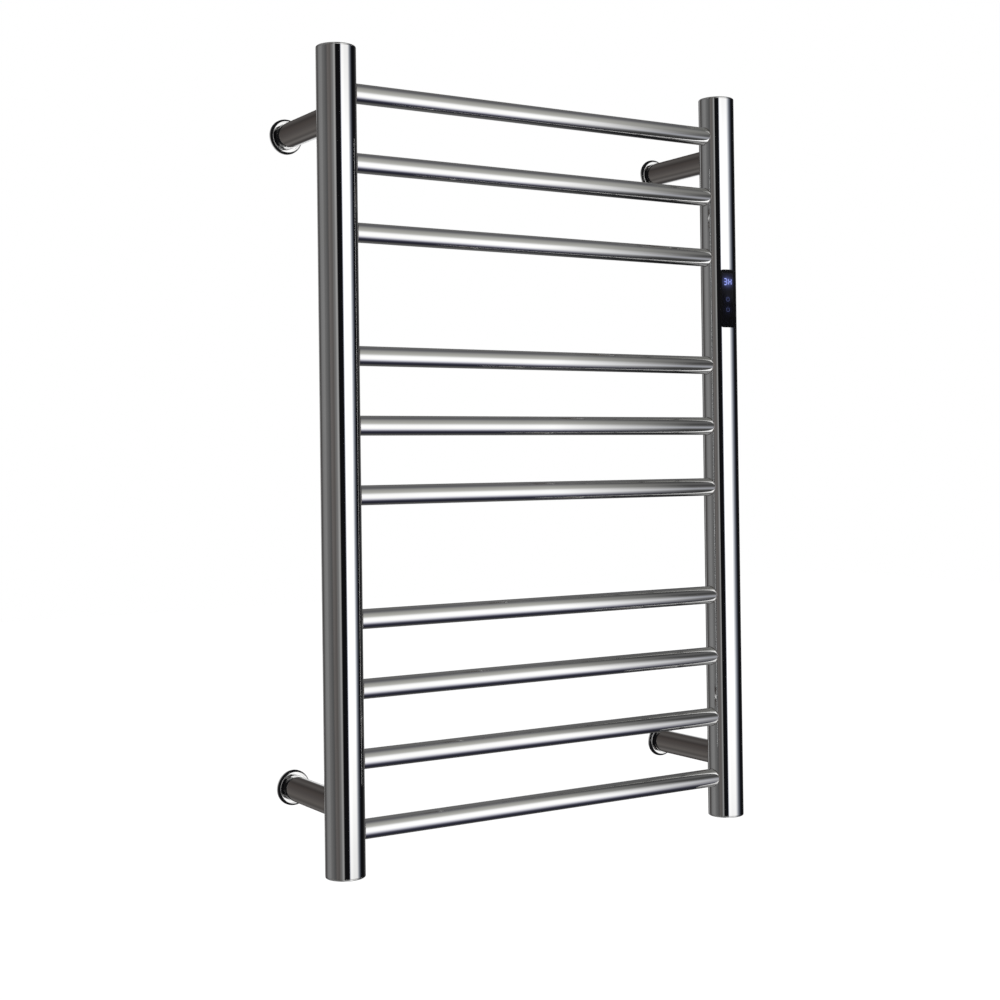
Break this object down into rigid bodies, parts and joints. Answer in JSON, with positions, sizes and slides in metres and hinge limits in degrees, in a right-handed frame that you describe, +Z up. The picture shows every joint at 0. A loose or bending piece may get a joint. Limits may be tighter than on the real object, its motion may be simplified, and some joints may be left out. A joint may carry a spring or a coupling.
{
  "type": "towel warmer rack",
  "caption": "Wall-mounted electric towel warmer: two upright tube posts joined by heated horizontal bars, standoffs with sliding rosettes, touch control panel in the right post.",
  "frame": {"origin": "centre of the four wall fixing holes, on the wall plane", "axes": "+Y into the wall, -Y towards the room, +Z up along the posts, +X to the right as seen from the room"},
  "size_m": [0.5, 0.134, 0.78],
  "materials": {
    "polished_steel": "mirror polished stainless steel",
    "plain_steel": "turned steel",
    "black_rubber": "matt",
    "silicone_cable": "smooth silicone",
    "wire_sheath": "smooth",
    "earth_wire": "smooth",
    "brass": "plain",
    "white_plastic": "moulded",
    "black_plastic": "gloss black",
    "black_glass": "gloss black touch lens",
    "circuit_board": "solder mask",
    "display_light": "lit digits behind a dark filter",
    "icon_light": "lit diffusing light guide",
    "blue_plastic": "moulded",
    "yellow_plastic": "taped winding",
    "green_plastic": "moulded"
  },
  "bodies": {
    "body": {"left_post": "polished_steel", "right_post": "polished_steel", "left_top_cap": "polished_steel", "left_bottom_cap": "polished_steel", "right_top_cap": "polished_steel", "right_bottom_cap": "polished_steel", "bar_01": "polished_steel", "bar_02": "polished_steel", "bar_03": "polished_steel", "bar_04": "polished_steel", "bar_05": "polished_steel", "bar_06": "polished_steel", "bar_07": "polished_steel", "bar_08": "polished_steel", "bar_09": "polished_steel", "bar_10": "polished_steel", "standoff_upper_left": "polished_steel", "standoff_upper_right": "polished_steel", "standoff_lower_left": "polished_steel", "standoff_lower_right": "polished_steel", "wall_boss_upper_left": "plain_steel", "wall_boss_upper_right": "plain_steel", "wall_boss_lower_left": "plain_steel", "wall_boss_lower_right": "plain_steel", "grub_screws": "plain_steel", "heating_cable": "silicone_cable", "crimp_sleeves": "brass", "top_lead": "wire_sheath", "bottom_lead": "wire_sheath", "supply_harness": "wire_sheath", "earth_lead": "earth_wire", "earth_lug": "brass", "earth_screw": "brass", "terminal_block": "white_plastic", "cable_grommet": "black_rubber", "module_tray": "white_plastic", "control_bezel": "black_plastic", "bezel_gasket": "black_rubber", "touch_lens": "black_glass", "display_board": "circuit_board", "digit_display": "display_light", "icon_guides": "icon_light", "touch_electrodes": "brass", "display_screws": "plain_steel", "control_board": "circuit_board", "board_screws": "plain_steel", "relay": "blue_plastic", "power_converter": "yellow_plastic", "element_terminals": "green_plastic", "thermal_fuse": "plain_steel", "temperature_sensor": "brass"},
    "sleeve_upper_left": {"rosette_upper_left": "polished_steel", "o_ring_upper_left": "black_rubber"},
    "sleeve_upper_right": {"rosette_upper_right": "polished_steel", "o_ring_upper_right": "black_rubber"},
    "sleeve_lower_left": {"rosette_lower_left": "polished_steel", "o_ring_lower_left": "black_rubber"},
    "sleeve_lower_right": {"rosette_lower_right": "polished_steel", "o_ring_lower_right": "black_rubber"}
  },
  "joints": [
    {"name": "rosette_slide_upper_left", "type": "slide", "parent": "body", "child": "sleeve_upper_left", "axis": [0, -1, 0], "range_m": [0, 0.085]},
    {"name": "rosette_slide_upper_right", "type": "slide", "parent": "body", "child": "sleeve_upper_right", "axis": [0, -1, 0], "range_m": [0, 0.085]},
    {"name": "rosette_slide_lower_left", "type": "slide", "parent": "body", "child": "sleeve_lower_left", "axis": [0, -1, 0], "range_m": [0, 0.085]},
    {"name": "rosette_slide_lower_right", "type": "slide", "parent": "body", "child": "sleeve_lower_right", "axis": [0, -1, 0], "range_m": [0, 0.085]}
  ]
}
